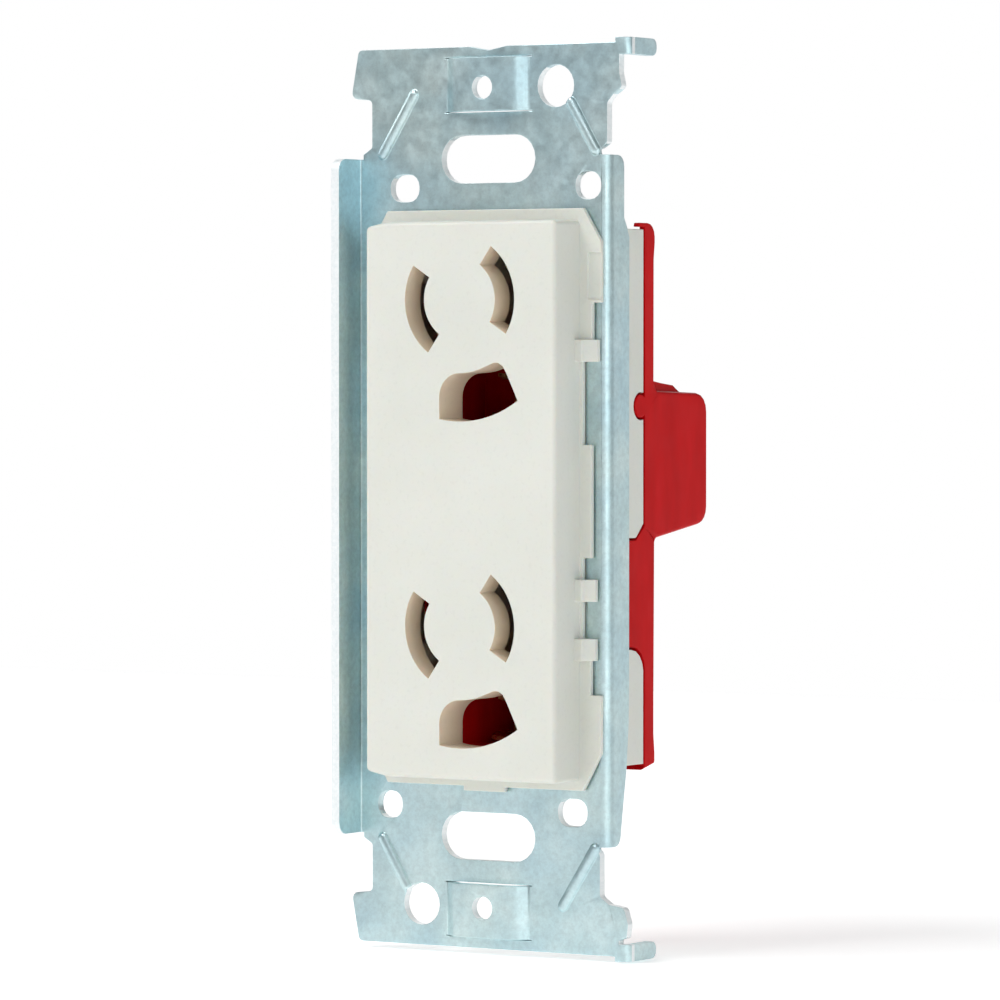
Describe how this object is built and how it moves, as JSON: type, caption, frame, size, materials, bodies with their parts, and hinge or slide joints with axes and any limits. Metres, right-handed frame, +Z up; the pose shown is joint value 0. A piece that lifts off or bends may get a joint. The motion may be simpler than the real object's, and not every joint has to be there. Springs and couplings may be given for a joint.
{
  "type": "duplex wall outlet",
  "caption": "Grounded duplex wall outlet with twist-to-retain arc slots, white body on a zinc-plated steel yoke, red rear base with push-in terminals.",
  "frame": {"origin": "midway between the two box-screw slots, on the back face of the yoke, where the yoke sits on the wall box", "axes": "+X right seen from the front, the faces look towards -Y and the terminals towards +Y, +Z up along the yoke"},
  "size_m": [0.0403, 0.0368, 0.1124],
  "materials": {
    "zinc": "bright blue zinc plating on rolled sheet, satin",
    "white_moulding": "warm white moulding, fine satin texture",
    "red_moulding": "red moulding, semi-gloss",
    "contact_brass": "rolled strip, bright",
    "spring_steel": "rolled spring strip",
    "release_moulding": "natural moulding",
    "screw_steel": "plated, cross slot"
  },
  "bodies": {
    "outlet": {"yoke": "zinc", "front_cover": "white_moulding", "rear_base": "red_moulding", "line_contact_upper": "contact_brass", "line_contact_lower": "contact_brass", "neutral_contact_upper": "contact_brass", "neutral_contact_lower": "contact_brass", "ground_contact_upper": "contact_brass", "ground_contact_lower": "contact_brass", "line_bus": "contact_brass", "neutral_bus": "contact_brass", "ground_bus": "contact_brass", "assembly_screw_1": "screw_steel", "assembly_screw_2": "screw_steel", "assembly_screw_3": "screw_steel", "assembly_screw_4": "screw_steel"},
    "line_release_body": {"line_release": "release_moulding"},
    "line_spring_a_body": {"line_lock_spring_a": "spring_steel"},
    "line_spring_b_body": {"line_lock_spring_b": "spring_steel"},
    "ground_release_body": {"ground_release": "release_moulding"},
    "ground_spring_a_body": {"ground_lock_spring_a": "spring_steel"},
    "ground_spring_b_body": {"ground_lock_spring_b": "spring_steel"},
    "neutral_release_body": {"neutral_release": "release_moulding"},
    "neutral_spring_a_body": {"neutral_lock_spring_a": "spring_steel"},
    "neutral_spring_b_body": {"neutral_lock_spring_b": "spring_steel"}
  },
  "joints": [
    {"name": "line_release_push", "type": "slide", "parent": "outlet", "child": "line_release_body", "axis": [0, -1, 0], "range_m": [0, 0.003], "stiffness_N_per_m": 400},
    {"name": "line_spring_a_lift", "type": "hinge", "parent": "outlet", "child": "line_spring_a_body", "pos_m": [-0.0065, 0.0244, 0.0081], "axis": [0, 0, 1], "range_deg": [0, 14.5]},
    {"name": "line_spring_b_lift", "type": "hinge", "parent": "outlet", "child": "line_spring_b_body", "pos_m": [-0.0065, 0.0244, 0.001], "axis": [0, 0, 1], "range_deg": [0, 14.5]},
    {"name": "ground_release_push", "type": "slide", "parent": "outlet", "child": "ground_release_body", "axis": [0, -1, 0], "range_m": [0, 0.003], "stiffness_N_per_m": 400},
    {"name": "ground_spring_a_lift", "type": "hinge", "parent": "outlet", "child": "ground_spring_a_body", "pos_m": [0.0021, 0.0244, 0.0081], "axis": [0, 0, 1], "range_deg": [0, 14.5]},
    {"name": "ground_spring_b_lift", "type": "hinge", "parent": "outlet", "child": "ground_spring_b_body", "pos_m": [0.0021, 0.0244, 0.001], "axis": [0, 0, 1], "range_deg": [0, 14.5]},
    {"name": "neutral_release_push", "type": "slide", "parent": "outlet", "child": "neutral_release_body", "axis": [0, -1, 0], "range_m": [0, 0.003], "stiffness_N_per_m": 400},
    {"name": "neutral_spring_a_lift", "type": "hinge", "parent": "outlet", "child": "neutral_spring_a_body", "pos_m": [0.0107, 0.0244, 0.0081], "axis": [0, 0, 1], "range_deg": [0, 14.5]},
    {"name": "neutral_spring_b_lift", "type": "hinge", "parent": "outlet", "child": "neutral_spring_b_body", "pos_m": [0.0107, 0.0244, 0.001], "axis": [0, 0, 1], "range_deg": [0, 14.5]}
  ],
  "couplings": [
    {"joint": "line_spring_a_lift", "follows": "line_release_push", "rad_per_m": 83},
    {"joint": "line_spring_b_lift", "follows": "line_release_push", "rad_per_m": 83},
    {"joint": "ground_spring_a_lift", "follows": "ground_release_push", "rad_per_m": 83},
    {"joint": "ground_spring_b_lift", "follows": "ground_release_push", "rad_per_m": 83},
    {"joint": "neutral_spring_a_lift", "follows": "neutral_release_push", "rad_per_m": 83},
    {"joint": "neutral_spring_b_lift", "follows": "neutral_release_push", "rad_per_m": 83}
  ]
}
